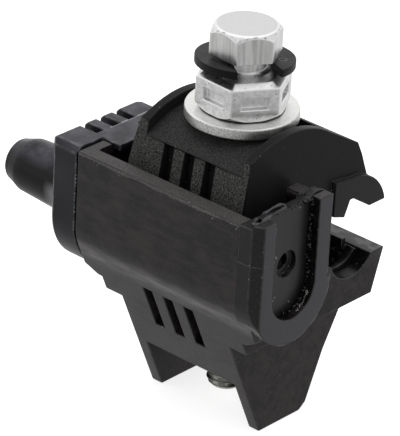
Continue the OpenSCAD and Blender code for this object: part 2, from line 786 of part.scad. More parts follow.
// Blunt nose, turned about the branch axis, with a fillet at its root and a rounded end
module nose() {
    r0 = nose_d / 2;
    r1 = shank_d / 2;
    r2 = tip_d / 2;
    nose_l = shank_l + tip_l;
    steps = 6;
    translate([cap_x - flange_l, branch_y, nose_z]) rotate([0, -90, 0]) rotate_extrude() polygon(concat(
        [[0, -over], [r0 + root_fillet, -over]],
        [for (i = [0:steps]) let (a = 90 * i / steps)
            [r0 + root_fillet * (1 - sin(a)), root_fillet * (1 - cos(a))]],
        [[r1, shank_l]],
        [for (i = [0:steps]) let (a = 90 * i / steps)
            [r2 - tip_round * (1 - cos(a)), nose_l - tip_round * (1 - sin(a))]],
        [[0, nose_l]]));
}

// Socket for the branch wire's end
module nose_bore() {
    bar_x(cap_x - flange_l - shank_l, cap_x + spigot_l + over, branch_y, nose_z,
        shank_d / 2 - nose_wall, nose_d / 2 - nose_wall);
}

module entry_seal() color(soft_colour) difference() {
    x0 = half_l - seal_t;
    union() {
        u_bar(x0, half_l, branch_y, branch_z, trough_r - running_gap, trough_top + seal_rise);
        seal_lip();
    }
    bar_x(x0 - over, half_l + over, branch_y, branch_z + entry_rise, pilot_r, pilot_r);
    bar_x(x0 + pilot_t, half_l + over, branch_y, branch_z + entry_rise, entry_d / 2, entry_d / 2);
}

// Rounded lip of the seal, folded over the trough's side behind the frame
module seal_lip() {
    level = trough_top + running_gap;
    intersection() {
        bar_x(half_l - seal_t, half_l, branch_y + trough_r + lip_shift, level + lip_rise - lip_round,
            lip_round, lip_round);
        block([half_l - seal_t, branch_y, level], [half_l, branch_y + barrel_r - lip_in_t, big]);
    }
}

module upper_blade(x) color(tin_colour) along_x(x - blade_t / 2, x + blade_t / 2) polygon(upper_blade_points(
    flat_teeth(branch_root0, branch_root1, tooth_out + root_in),
    flat_teeth(main_root0, main_root1, tooth_out + root_in), 0));
module upper_blade_front() upper_blade(blade_x);
module upper_blade_rear() upper_blade(-blade_x);

module lower_blade(x) color(tin_colour) along_x(x - blade_t / 2, x + blade_t / 2) polygon(lower_blade_points(
    arc_teeth(branch_y, branch_z, trough_r - tooth_out, trough_r + root_in),
    arc_teeth(main_y, main_z, main_r - tooth_out, main_r + root_in), 0));
module lower_blade_front() lower_blade(blade_x);
module lower_blade_rear() lower_blade(-blade_x);

module upper_main_seal() color(soft_colour) difference() {
    upper_main_pad(0);
    for (x = [-blade_x, blade_x]) upper_blade_slot(x);
}

module upper_branch_seal() color(soft_colour) difference() {
    upper_branch_pad(0);
    for (x = [-blade_x, blade_x]) upper_blade_slot(x);
}

// Curved pad in a lower channel, with ribs across it and windows for the teeth
module lower_pad(y, z, r) {
    difference() {
        union() {
            pad_arc(-pad_l / 2, pad_l / 2, y, z, r - pad_proud, r + pad_t - pad_proud, pad_deg);
            for (x = [-pad_l / 2, -rib_w * 5, rib_w * 4, pad_l / 2 - rib_w])
                pad_arc(x, x + rib_w, y, z, r - pad_proud - rib_h, r, pad_deg - 2);
        }
        for (x = [-blade_x, blade_x]) lower_blade_slot(x);
    }
}
module lower_main_seal() color(soft_colour) {
    lower_pad(main_y, main_z, main_r);
    edge_x = blade_x + rib_w;
    edge_y = lip_y - rib_w;
    block([-edge_x, edge_y - edge_rib, jaw_top - edge_rib], [edge_x, edge_y, jaw_top + edge_rise]);
}
module lower_branch_seal() color(soft_colour) difference() {
    lower_pad(branch_y, branch_z, trough_r);
    bolt_tower(running_gap);
}

lower_body();
upper_body();
clamp_bolt();
shear_head();
split_ring();
washer();
captive_nut();
end_cap();
entry_seal();
upper_blade_front();
upper_blade_rear();
lower_blade_front();
lower_blade_rear();
upper_main_seal();
upper_branch_seal();
lower_main_seal();
lower_branch_seal();
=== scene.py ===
import math
import bmesh
import bpy
from mathutils import Matrix, Vector


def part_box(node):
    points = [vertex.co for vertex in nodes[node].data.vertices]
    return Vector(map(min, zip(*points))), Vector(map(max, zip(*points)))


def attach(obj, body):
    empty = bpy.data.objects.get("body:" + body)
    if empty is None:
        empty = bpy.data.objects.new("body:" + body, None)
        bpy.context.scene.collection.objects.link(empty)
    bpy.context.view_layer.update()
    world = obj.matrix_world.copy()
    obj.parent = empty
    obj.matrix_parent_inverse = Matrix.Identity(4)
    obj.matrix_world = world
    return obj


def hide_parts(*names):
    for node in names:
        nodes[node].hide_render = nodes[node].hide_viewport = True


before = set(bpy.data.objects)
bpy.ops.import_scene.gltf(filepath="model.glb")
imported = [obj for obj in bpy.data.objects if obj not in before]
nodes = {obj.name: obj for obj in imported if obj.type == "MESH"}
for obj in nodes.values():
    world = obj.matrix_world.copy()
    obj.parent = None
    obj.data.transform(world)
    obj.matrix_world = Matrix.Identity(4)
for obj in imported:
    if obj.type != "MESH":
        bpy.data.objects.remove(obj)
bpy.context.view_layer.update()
scene = bpy.context.scene
scene.view_settings.view_transform = "Standard"
mm = 0.001
print("frame loaded,", len(nodes), "nodes")


def toLinear(hexText):
    parts = [int(hexText[i:i + 2], 16) / 255 for i in (1, 3, 5)]
    return tuple(p / 12.92 if p <= 0.04045 else ((p + 0.055) / 1.055) ** 2.4 for p in parts) + (1.0,)


# adds one node: an input is a value, a hex colour, a socket, or a node whose first live output is linked
def addNode(tree, kind, inputs=None, **settings):
    node = tree.nodes.new(kind)
    for name, value in settings.items():
        setattr(node, name, value)
    for key, value in (inputs or {}).items():
        if isinstance(value, bpy.types.Node):
            value = next(socket for socket in value.outputs if socket.enabled)
        if isinstance(value, bpy.types.NodeSocket):
            tree.links.new(value, node.inputs[key])
        else:
            node.inputs[key].default_value = toLinear(value) if isinstance(value, str) else value
    return node


def newMaterial(name):
    material = bpy.data.materials.new(name)
    material.use_nodes = True
    tree = material.node_tree
    tree.nodes.clear()
    return material, tree


# camera, fitted to the photograph's straight edges
camera = {
    "right": (0.7409, 0.6697, 0.0496),
    "up": (-0.3407, 0.3112, 0.8872),
    "back": (0.5787, -0.6743, 0.4588),
    "place": (0.43264, -0.51486, 0.38716),
    "lens": 315.0,
    "sensor": 36.0,
    "clipEnd": 20.0,
}
cameraData = bpy.data.cameras.new("photoCamera")
cameraData.sensor_fit = "VERTICAL"
cameraData.sensor_height = camera["sensor"]
cameraData.lens = camera["lens"]
cameraData.clip_end = camera["clipEnd"]
cameraObject = bpy.data.objects.new("photoCamera", cameraData)
scene.collection.objects.link(cameraObject)
axes = Matrix((camera["right"], camera["up"], camera["back"])).transposed().to_4x4()
cameraObject.matrix_world = Matrix.Translation(Vector(camera["place"])) @ axes
scene.camera = cameraObject
print("camera placed")


# where a spot of the surface lies, in millimetres, and which way it faces
def surfaceOf(tree):
    coords = addNode(tree, "ShaderNodeTexCoord").outputs
    place = addNode(tree, "ShaderNodeVectorMath", {
        0: coords["Object"], "Scale": 1 / mm}, operation="SCALE")
    spot = addNode(tree, "ShaderNodeSeparateXYZ", {0: place}).outputs
    facing = addNode(tree, "ShaderNodeSeparateXYZ", {0: coords["Normal"]}).outputs
    return place, spot, facing


# a limit is a source and the two readings between which it goes from nothing to full; a pair this close
# makes a sharp edge
sharp = 0.001


def above(source, reading):
    return source, (reading, reading + sharp)


def below(source, reading):
    return source, (reading, reading - sharp)


# both flanks of a band about a middle: full up to one distance from it, gone at the other
def flanks(source, middle, full, gone=None):
    gone = full + sharp if gone is None else gone
    return (source, (middle - gone, middle - full)), (source, (middle + gone, middle + full))


# mask of the zone where all the limits are full: a share, or another mask, faded by each limit in turn
def zone(tree, share, *limits):
    for source, (none, full) in limits:
        share = addNode(tree, "ShaderNodeMapRange", {0: source, 1: none, 2: full, 4: share})
    return share


# pale debris specks: small dots in a share of the cells, each about a tenth of a cell across
speckFade = (0.2, 0.1)


def debrisSpecks(tree, place, cellMm, share):
    cells = addNode(tree, "ShaderNodeTexVoronoi", {"Vector": place, "Scale": 1 / cellMm}).outputs
    draw = addNode(tree, "ShaderNodeSeparateXYZ", {0: cells["Color"]})
    chosen = addNode(tree, "ShaderNodeMath", {0: draw, 1: share}, operation="LESS_THAN")
    return zone(tree, chosen, (cells["Distance"], speckFade))


# ends a material: colours laid over its dark tone by their masks, roughness from the wear, relief, shader
wearSpread = (0.3, 0.7)


def finishSurface(tree, look, layers, wear, height=None, dulled=()):
    colour = look["dark"]
    for mask, name in layers:
        colour = addNode(tree, "ShaderNodeMix", {0: mask, 6: colour, 7: look[name]}, data_type="RGBA")
    rough = addNode(tree, "ShaderNodeMapRange", dict(enumerate((wear, *wearSpread, *look["rough"]))))
    for mask, name in dulled:
        rough = addNode(tree, "ShaderNodeMix", {0: mask, 2: rough, 3: look[name]})
    inputs = {"Base Color": colour, "Roughness": rough}
    if "gloss" in look:  # plastics; the metals have none
        inputs.update({"IOR": look["ior"], "Specular IOR Level": look["gloss"]})
    else:
        inputs["Metallic"] = 1.0
    if height is not None:
        inputs["Normal"] = addNode(tree, "ShaderNodeBump", {
            "Height": height, "Strength": look["bump"], "Distance": look["bumpMm"] * mm})
    shader = addNode(tree, "ShaderNodeBsdfPrincipled", inputs)
    addNode(tree, "ShaderNodeOutputMaterial", {"Surface": shader})


# black glass-filled nylon of the lower housing, moulded: satin skin clouded by handling, scuffed pale along
# the trough's top edge, smoother on the entry frame's face, with fine lines where mould inserts met
def housingNylon(name, look):
    material, tree = newMaterial(name)
    place, (x, y, z), (faceX, faceY, faceZ) = surfaceOf(tree)
    cloud = addNode(tree, "ShaderNodeTexNoise", {
        "Vector": place, "Scale": 1 / look["cloudMm"], "Detail": 4.0, "Roughness": 0.6})
    # rubbed streaks run along the clamp
    drawn = addNode(tree, "ShaderNodeMapping", {"Vector": place, "Scale": look["streakScale"]})
    streak = addNode(tree, "ShaderNodeTexNoise", {
        "Vector": drawn, "Scale": 1 / look["streakMm"], "Detail": 3.0})
    # grains are drawn coarser than the real mould texture so that they show
    grain = addNode(tree, "ShaderNodeTexNoise", {
        "Vector": place, "Scale": 1 / look["grainMm"], "Detail": 2.0})
    patch = addNode(tree, "ShaderNodeTexNoise", {
        "Vector": place, "Scale": 1 / look["skinMm"], "Detail": 3.0})
    blend = addNode(tree, "ShaderNodeMath", {0: cloud, 1: streak}, operation="ADD")
    uneven = addNode(tree, "ShaderNodeMapRange", dict(enumerate((streak, *look["uneven"]))))
    gritty = addNode(tree, "ShaderNodeMapRange", dict(enumerate((grain, *look["gritty"]))))
    ragged = addNode(tree, "ShaderNodeMath", {
        0: streak, 1: look["bandRag"], 2: z}, operation="MULTIPLY_ADD")
    wall, upward, ahead = (faceY, look["wall"]), (faceZ, look["upward"]), (faceX, look["ahead"])
    beforeLine, pastLine = below(x, look["lineX"]), above(x, look["lineX"])
    outer, onTop = below(y, look["lineY"]), above(z, look["topFrom"])
    # band where the barrel turns under: a painted highlight along the bend, mixed with pale hand scuffs
    rubbedHighlight = zone(tree, uneven, wall, *flanks(z, look["rubHighlightZ"], 0.0, look["rubHighlightHalf"]))
    # scuffed band under the trough's top edge, ragged by the streaks, with crumbs along its lower side
    scuff = zone(tree, gritty, wall, beforeLine, (ragged, look["band"]))
    fringe = flanks(ragged, look["band"][0], *look["fringe"])
    crumbs = zone(tree, debrisSpecks(tree, place, *look["crumb"]), wall, beforeLine, *fringe)
    # the wall's top, rubbed matt by the cover, and torn skin left pale on the jaw's top
    crown = zone(tree, 1.0, upward, onTop)
    gritTop = zone(tree, gritty, upward, onTop)
    skin = zone(tree, 1.0, upward, (y, look["jaw"]), (patch, look["torn"]))
    # entry frame's face, polished by the mould and painted lighter and bluish as its sheen; the legs keep
    # the dull skin of a worn one
    face = zone(tree, 1.0, ahead, (x, look["frame"]))
    leg = zone(tree, 1.0, ahead, (z, look["leg"]))
    # painted shade: the sides of the entry opening, coloured black
    throatShade = zone(tree, 1.0, above(x, look["throatX"]), above(y, look["throatY"]),
                  below(faceX, look["throatFacing"]), below(faceZ, look["throatTop"]))
    # the entry frame's outer side and chamfer, from a smoother and darker mould insert
    insert = zone(tree, 1.0, pastLine, below(y, look["throatY"]), above(z, look["insertFrom"]),
                  below(faceX, look["insertFacing"]))
    # painted shade on the main channel's floor, under its pad
    channel = zone(tree, 1.0, *flanks(y, *look["channelY"]), *flanks(z, *look["channelZ"]),
                   *flanks(faceX, *look["channelFacing"]))
    # insert lines on the wall: one upright, one level up to the frame and broken by the streaks
    seam = zone(tree, 1.0, *flanks(x, look["lineX"], *look["line"]), above(z, look["lineZ"]), outer)
    ledge = zone(tree, 1.0, *flanks(z, look["lineZ"], *look["line"]), pastLine, outer)
    broken = addNode(tree, "ShaderNodeMath", {0: ledge, 1: streak}, operation="MULTIPLY")
    either = addNode(tree, "ShaderNodeMath", {0: seam, 1: ledge}, operation="MAXIMUM")
    relief = addNode(tree, "ShaderNodeMath", {
        0: either, 1: look["lineDeep"], 2: grain}, operation="MULTIPLY_ADD")
    worn = addNode(tree, "ShaderNodeMath", {0: scuff, 1: crown}, operation="MAXIMUM")
    dull = addNode(tree, "ShaderNodeMath", {0: worn, 1: leg}, operation="MAXIMUM")
    layers = (
        (zone(tree, 1.0, (blend, look["toneSpread"])), "pale"),
        (rubbedHighlight, "rubHighlightColour"), (scuff, "scuffColour"), (crumbs, "crumbColour"), (gritTop, "topColour"),
        (skin, "skinColour"), (face, "frameSheenColour"), (throatShade, "paintedShadeColour"), (insert, "insertColour"),
        (channel, "paintedShadeColour"), (seam, "dark"), (broken, "lineColour"),
        (zone(tree, look["fleck"], (grain, look["fleckSpread"])), "fleckColour"),
        (debrisSpecks(tree, place, *look["speck"]), "speckColour"))
    finishSurface(tree, look, layers, cloud, relief, ((dull, "scuffRough"), (face, "frameRough")))
    return material


# places and sizes are in mm; a pair is a limit's two readings, and a speck's or crumb's cell size and share
lowerNylon = housingNylon("glassFilledNylonLower", {
    "cloudMm": 4.5, "streakMm": 1.5, "streakScale": (0.25, 1.0, 1.0), "grainMm": 0.35,
    "dark": "#080606", "pale": "#312929", "toneSpread": (0.8, 1.2),
    "wall": (-0.5, -0.8), "upward": (0.6, 0.9), "ahead": (0.7, 0.95),
    "rubHighlightZ": 32.3, "rubHighlightHalf": 2.8, "uneven": (0.35, 0.65, 0.35, 1.0), "rubHighlightColour": "#8d8a89",
    "band": (54.1, 54.6), "bandRag": 1.6, "gritty": (0.4, 0.64, 0.3, 0.9),
    "scuffColour": "#8a8886", "scuffRough": 0.6,
    "crumb": (0.75, 0.5), "fringe": (0.2, 0.6), "crumbColour": "#d2d0cc",
    "topFrom": 53.2, "topColour": "#565453",
    "jaw": (25.0, 25.4), "skinMm": 2.4, "torn": (0.45, 0.56), "skinColour": "#5c5b5b",
    "frame": (24.5, 24.8), "frameSheenColour": "#3d3d43", "frameRough": 0.3, "leg": (30.0, 27.0),
    "throatX": 22.2, "throatY": -17.6, "throatFacing": 0.5, "throatTop": 0.8, "paintedShadeColour": "#020202",
    "insertFrom": 33.0, "insertFacing": 0.9, "insertColour": "#040404",
    "channelY": (19.1, 7.0), "channelZ": (29.4, 3.5), "channelFacing": (0.0, 0.5),
    "lineX": 19.6, "lineY": -19.0, "lineZ": 46.3, "line": (0.06, 0.16), "lineDeep": -2.0,
    "lineColour": "#5a5957", "fleck": 0.35, "fleckSpread": (0.55, 0.78), "fleckColour": "#5a5857",
    "speck": (0.9, 0.006), "speckColour": "#8d8b88",
    "ior": 1.53, "gloss": 0.38, "rough": (0.26, 0.42), "bump": 0.45, "bumpMm": 0.05})


# the same nylon on the cover: spark-eroded grip side and saddle, their grains flecked pale as painted
# glints, with smooth dark rims
def gripNylon(name, look):
    material, tree = newMaterial(name)
    place, (x, y, z), (_, faceY, faceZ) = surfaceOf(tree)
    cloud = addNode(tree, "ShaderNodeTexNoise", {
        "Vector": place, "Scale": 1 / look["cloudMm"], "Detail": 4.0})
    # spark grains are about a tenth of a millimetre, drawn coarser so that they show
    grain = addNode(tree, "ShaderNodeTexNoise", {
        "Vector": place, "Scale": 1 / look["grainMm"], "Detail": 1.0})
    # grip side: the outer plane only, so that the grooves' floors stay smooth
    lean = addNode(tree, "ShaderNodeMath", {
        0: z, 1: look["gripLean"], 2: look["gripY"]}, operation="MULTIPLY_ADD")
    depth = addNode(tree, "ShaderNodeMath", {0: y, 1: lean}, operation="SUBTRACT")
    grip = zone(tree, 1.0, (depth, look["gripDeep"]), (faceY, look["wall"]))
    # saddle between the two rims, etched like the grip side, and the hook's ends beyond them, paler in tone
    middle = addNode(tree, "ShaderNodeMath", {0: x}, operation="ABSOLUTE")
    saddle = zone(tree, look["saddleShare"], (middle, look["saddle"]), (faceZ, look["upward"]))
    hookEnd = zone(tree, 1.0, above(middle, look["hookFrom"]))
    etched = addNode(tree, "ShaderNodeMath", {0: grip, 1: saddle}, operation="MAXIMUM")
    # painted glints: pale flecks on the etched grains
    sparkGlint = zone(tree, etched, (grain, look["sparkSpread"]))
    pebble = addNode(tree, "ShaderNodeMapRange", {0: etched, 3: look["pebble"]})
    relief = addNode(tree, "ShaderNodeMath", {0: grain, 1: pebble}, operation="MULTIPLY")
    layers = ((cloud, "pale"), (hookEnd, "hookColour"), (sparkGlint, "sparkGlintColour"),
              (debrisSpecks(tree, place, *look["speck"]), "speckColour"))
    finishSurface(tree, look, layers, cloud, relief, ((etched, "gripRough"),))
    return material


coverNylon = gripNylon("glassFilledNylonCover", {
    "cloudMm": 7.0, "grainMm": 0.24, "dark": "#232323", "pale": "#2f2f30",
    "gripY": -22.8, "gripLean": 0.155, "gripDeep": (0.5, 0.25), "wall": (-0.5, -0.8), "gripRough": 0.6,
    "saddle": (12.3, 12.0), "saddleShare": 0.35, "upward": (0.3, 0.6),
    "hookFrom": 14.7, "hookColour": "#3b3b3c",
    "sparkGlintColour": "#7a7a77", "sparkSpread": (0.36, 0.72), "pebble": 0.25,
    "speck": (0.8, 0.03), "speckColour": "#767573",
    "ior": 1.53, "gloss": 0.06, "rough": (0.32, 0.46), "bump": 0.8, "bumpMm": 0.08})

# rubbed edge of a black moulding: a thin paler line, worn and partly a painted highlight, with crumbs of
# flash on it
edgeSkin = {"worn": (0.4, 0.65), "ior": 1.52, "gloss": 0.5}


def rubbedEdge(name, finish):
    look = {**edgeSkin, **finish}
    material, tree = newMaterial(name)
    place = surfaceOf(tree)[0]
    wear = addNode(tree, "ShaderNodeTexNoise", {
        "Vector": place, "Scale": 1 / look["wearMm"], "Detail": 3.0})
    layers = ((zone(tree, 1.0, (wear, look["worn"])), "pale"),
              (debrisSpecks(tree, place, *look["crumb"]), "crumbColour"))
    finishSurface(tree, look, layers, wear)
    return material


# the bevels' materials: paler than their mouldings, partly from wear and partly a painted highlight along
# the edges
nylonEdge = rubbedEdge("rubbedHighlitNylonEdge", {
    "wearMm": 1.6, "dark": "#0d0d0d", "pale": "#383737",
    "crumb": (0.55, 0.12), "crumbColour": "#dddcd8", "rough": (0.3, 0.5)})
coverEdge = rubbedEdge("rubbedHighlitNylonCoverEdge", {
    "wearMm": 1.6, "dark": "#0a0a0a", "pale": "#222222",
    "crumb": (0.55, 0.12), "crumbColour": "#c4c3c0", "rough": (0.34, 0.52), "gloss": 0.26})
capEdge = rubbedEdge("rubbedHighlitElastomerEdge", {
    "wearMm": 2.0, "dark": "#242428", "pale": "#68686f",
    "crumb": (0.6, 0.16), "crumbColour": "#d8d8da", "rough": (0.24, 0.36)})
sealEdge = rubbedEdge("rubbedHighlitElastomerSealEdge", {
    "wearMm": 1.5, "dark": "#0c0c0d", "pale": "#3a3a3d",
    "crumb": (0.6, 0.1), "crumbColour": "#b4b4b6", "rough": (0.3, 0.45), "gloss": 0.4})

# black moulded elastomer: smooth dark skin, with a blue-grey painted sheen clouded over what faces up
elastomerSkin = {
    "upward": (0.5, 0.9), "patchy": (0.4, 0.62, 0.1, 1.0), "cleanTo": (-60.0, -58.5),
    "ridgeHalf": (0.1, 0.28), "ridgeHigh": 3.0,
    "rootShare": 0.8, "rootLow": (0.35, 0.05), "rootSide": (-0.3, -0.7),
    "gateRim": (0.08, 0.24), "gateDeep": -4.0, "ior": 1.5, "bumpMm": 0.03}


def mouldedElastomer(name, finish):
    look = {**elastomerSkin, **finish}
    material, tree = newMaterial(name)
    place, spot, facing = surfaceOf(tree)
    upward = (facing[2], look["upward"])
    cloud = addNode(tree, "ShaderNodeTexNoise", {
        "Vector": place, "Scale": 1 / look["cloudMm"], "Detail": 4.0, "Roughness": 0.6})
    drawn = addNode(tree, "ShaderNodeMapping", {"Vector": place, "Scale": look["streakScale"]})
    streak = addNode(tree, "ShaderNodeTexNoise", {
        "Vector": drawn, "Scale": 1 / look["streakMm"], "Detail": 3.0})
    skin = addNode(tree, "ShaderNodeTexNoise", {
        "Vector": place, "Scale": 1 / look["skinMm"], "Detail": 2.0})
    patchy = addNode(tree, "ShaderNodeMapRange", dict(enumerate((cloud, *look["patchy"]))))
    # the second layer is a painted sheen, clouded, on what faces up
    layers = [(zone(tree, streak, (spot[0], look["cleanTo"])), "pale"),
              (zone(tree, patchy, upward), "cloudedSheen")]
    height = skin
    if "ridgeX" in look:  # fine ridge across the flange's top, where two mould halves met
        ridge = zone(tree, 1.0, upward, above(spot[1], look["ridgeFrom"]),
                     *flanks(spot[0], look["ridgeX"], *look["ridgeHalf"]))
        height = addNode(tree, "ShaderNodeMath", {
            0: ridge, 1: look["ridgeHigh"], 2: skin}, operation="MULTIPLY_ADD")
        # painted highlight low on the nose's root, where its fillet catches the light
        root = zone(tree, look["rootShare"], (spot[0], look["root"]), below(spot[0], look["rootEnd"]),
                    (facing[2], look["rootLow"]), (facing[1], look["rootSide"]))
        layers += [(ridge, "ridgeColour"), (root, "rootHighlightColour")]
    if "gate" in look:  # round mark of the mould's gate
        offset = addNode(tree, "ShaderNodeVectorMath", {0: place, 1: look["gate"]}, operation="SUBTRACT")
        reach = addNode(tree, "ShaderNodeVectorMath", {0: offset}, operation="LENGTH")
        rim = zone(tree, 1.0, *flanks(reach, look["gateR"], *look["gateRim"]))
        height = addNode(tree, "ShaderNodeMath", {
            0: rim, 1: look["gateDeep"], 2: skin}, operation="MULTIPLY_ADD")
        layers.append((rim, "gateColour"))
    layers.append((debrisSpecks(tree, place, *look["speck"]), "speckColour"))
    finishSurface(tree, look, layers, streak, height)
    return material


capRubber = mouldedElastomer("mouldedElastomerCap", {
    "cloudMm": 5.0, "streakMm": 4.0, "streakScale": (0.4, 1.0, 1.0), "skinMm": 0.6,
    "dark": "#09090b", "pale": "#3e3e45", "cleanTo": (-32.0, -30.5), "cloudedSheen": "#565660",
    "ridgeX": -25.35, "ridgeFrom": -10.0, "ridgeColour": "#a9a9b0",
    "root": (-36.6, -34.0), "rootEnd": -31.0, "rootHighlightColour": "#a8a8ab",
    "speck": (1.2, 0.02), "speckColour": "#8a8a8c", "gloss": 0.22, "rough": (0.22, 0.34), "bump": 0.2})
sealRubber = mouldedElastomer("mouldedElastomerSeal", {
    "cloudMm": 4.0, "streakMm": 1.6, "streakScale": (1.0, 1.0, 0.12), "skinMm": 0.5,
    "dark": "#0b0b0d", "pale": "#17171a", "cloudedSheen": "#202024",
    "speck": (1.2, 0.03), "speckColour": "#8a8a8a", "gloss": 0.5, "rough": (0.3, 0.42), "bump": 0.3})
ringPlastic = mouldedElastomer("mouldedPlasticRing", {
    "cloudMm": 5.0, "streakMm": 3.0, "streakScale": (1.0, 1.0, 1.0), "skinMm": 0.4,
    "dark": "#070707", "pale": "#0d0d0d", "cloudedSheen": "#131313",
    "gate": (5.88, 4.43, 75.85), "gateR": 0.75, "gateColour": "#5c5c5c",
    "speck": (1.4, 0.02), "speckColour": "#767676", "gloss": 0.2, "rough": (0.4, 0.5), "bump": 0.4})

# bright die-cast alloy: matt cast skin on top, upright drag marks on the small hexagon's flats, fine dark
# pits on the large one, and a painted shadow line at the foot, where the head sits on the washer
castSkin = {
    "flat": (0.0, 0.1, 0.4), "crown": (0.8, 0.95), "dragged": (0.62, 0.36), "blotch": (0.36, 0.62),
    "plain": 0.6, "pitTop": 73.2, "pitFade": 0.1, "foot": (65.72, 65.6), "footColour": "#262626",
    "bumpMm": 0.05}


def dieCastAlloy(name, finish):
    look = {**castSkin, **finish}
    material, tree = newMaterial(name)
    place, spot, facing = surfaceOf(tree)
    stretched = addNode(tree, "ShaderNodeMapping", {
        "Vector": place, "Scale": (1.0, 1.0, look["dragStretch"])})
    drag = addNode(tree, "ShaderNodeTexNoise", {
        "Vector": stretched, "Scale": 1 / look["dragMm"], "Detail": 3.0})
    skin = addNode(tree, "ShaderNodeTexNoise", {
        "Vector": place, "Scale": 1 / look["skinMm"], "Detail": 3.0})
    upper = zone(tree, 1.0, *flanks(facing[2], *look["flat"]), above(spot[2], look["pitTop"]))
    # the small hexagon is less mottled than the large one
    cloudy = addNode(tree, "ShaderNodeMapRange", {
        0: spot[2], 1: look["pitTop"], 2: look["pitTop"] + look["pitFade"], 3: 1.0, 4: look["upperMottle"]})
    blotch = zone(tree, 1.0, (skin, look["blotch"]))
    mottle = addNode(tree, "ShaderNodeMix", {0: cloudy, 2: look["plain"], 3: blotch})
    pits = zone(tree, debrisSpecks(tree, place, *look["pit"]), below(spot[2], look["pitTop"]))
    height = addNode(tree, "ShaderNodeMath", {0: drag, 1: upper, 2: skin}, operation="MULTIPLY_ADD")
    # the last layer is a painted shadow line at the foot
    layers = ((mottle, "pale"), (zone(tree, 1.0, (facing[2], look["crown"])), "topColour"),
              (zone(tree, upper, (drag, look["dragged"])), "dragColour"), (pits, "pitColour"),
              (zone(tree, 1.0, (spot[2], look["foot"])), "footColour"))
    finishSurface(tree, look, layers, drag, height)
    return material


castAlloy = dieCastAlloy("dieCastAlloyHead", {
    "dragMm": 0.75, "dragStretch": 0.06, "skinMm": 0.9, "dark": "#e0e0e0", "pale": "#f6f6f6",
    "topColour": "#dadadb", "dragColour": "#cbcac8", "upperMottle": 0.25,
    "pit": (0.9, 0.45), "pitColour": "#646465", "rough": (0.26, 0.4), "bump": 0.3})
castEdge = dieCastAlloy("dieCastAlloyEdge", {
    "dragMm": 1.2, "dragStretch": 1.0, "skinMm": 1.2, "dark": "#f0f0f0", "pale": "#fbfbfb",
    "topColour": "#f2f2f2", "dragColour": "#ececec", "upperMottle": 0.5,
    "pit": (1.4, 0.08), "pitColour": "#a9a9aa", "rough": (0.3, 0.42), "bump": 0.15})

# zinc-coated steel: soft grey coating, gritty with dark pinholes on its upright sides
zincSkin = {"upright": (0.3, 0.6), "pinhole": (0.6, 0.38), "bumpMm": 0.06}


def zincSteel(name, finish):
    look = {**zincSkin, **finish}
    material, tree = newMaterial(name)
    place, _, facing = surfaceOf(tree)
    grain = addNode(tree, "ShaderNodeTexNoise", {
        "Vector": place, "Scale": 1 / look["grainMm"], "Detail": 2.0})
    cloud = addNode(tree, "ShaderNodeTexNoise", {
        "Vector": place, "Scale": 1 / look["cloudMm"], "Detail": 3.0})
    tilt = addNode(tree, "ShaderNodeMath", {0: facing[2]}, operation="ABSOLUTE")
    side = addNode(tree, "ShaderNodeMapRange", dict(enumerate((
        tilt, *look["upright"], 1.0, look["topGrit"]))))
    relief = addNode(tree, "ShaderNodeMath", {0: grain, 1: side}, operation="MULTIPLY")
    layers = ((cloud, "pale"), (zone(tree, side, (grain, look["pinhole"])), "pinColour"))
    finishSurface(tree, look, layers, cloud, relief)
    return material


washerZinc = zincSteel("zincSteelWasher", {
    "grainMm": 0.22, "cloudMm": 3.0, "dark": "#eeeeec", "pale": "#fafaf8", "pinColour": "#bcbcb8",
    "topGrit": 0.35, "rough": (0.34, 0.5), "bump": 0.8})
studZinc = zincSteel("zincSteelStud", {
    "grainMm": 0.5, "cloudMm": 3.0, "dark": "#a4a49f", "pale": "#cfcfca", "pinColour": "#6d6d68",
    "topGrit": 0.3, "rough": (0.28, 0.42), "bump": 0.3})
# tinned contact alloy: the same dull grain, coloured dark all over as painted shade between the pads
shadedBladeTin = zincSteel("tinnedContactBladeShaded", {
    "grainMm": 0.7, "cloudMm": 4.0, "dark": "#3c3c3a", "pale": "#50504e", "pinColour": "#2c2c2a",
    "topGrit": 0.4, "rough": (0.36, 0.5), "bump": 0.3})
print("materials made")

# how a CAD node's copy is cleaned and its edges rounded: lengths in mm, angles in degrees
edgeRounding = {"join": 0.001, "sliver": 0.03, "flat": 0.5, "quad": 60, "sharpFrom": 27, "segments": 2}


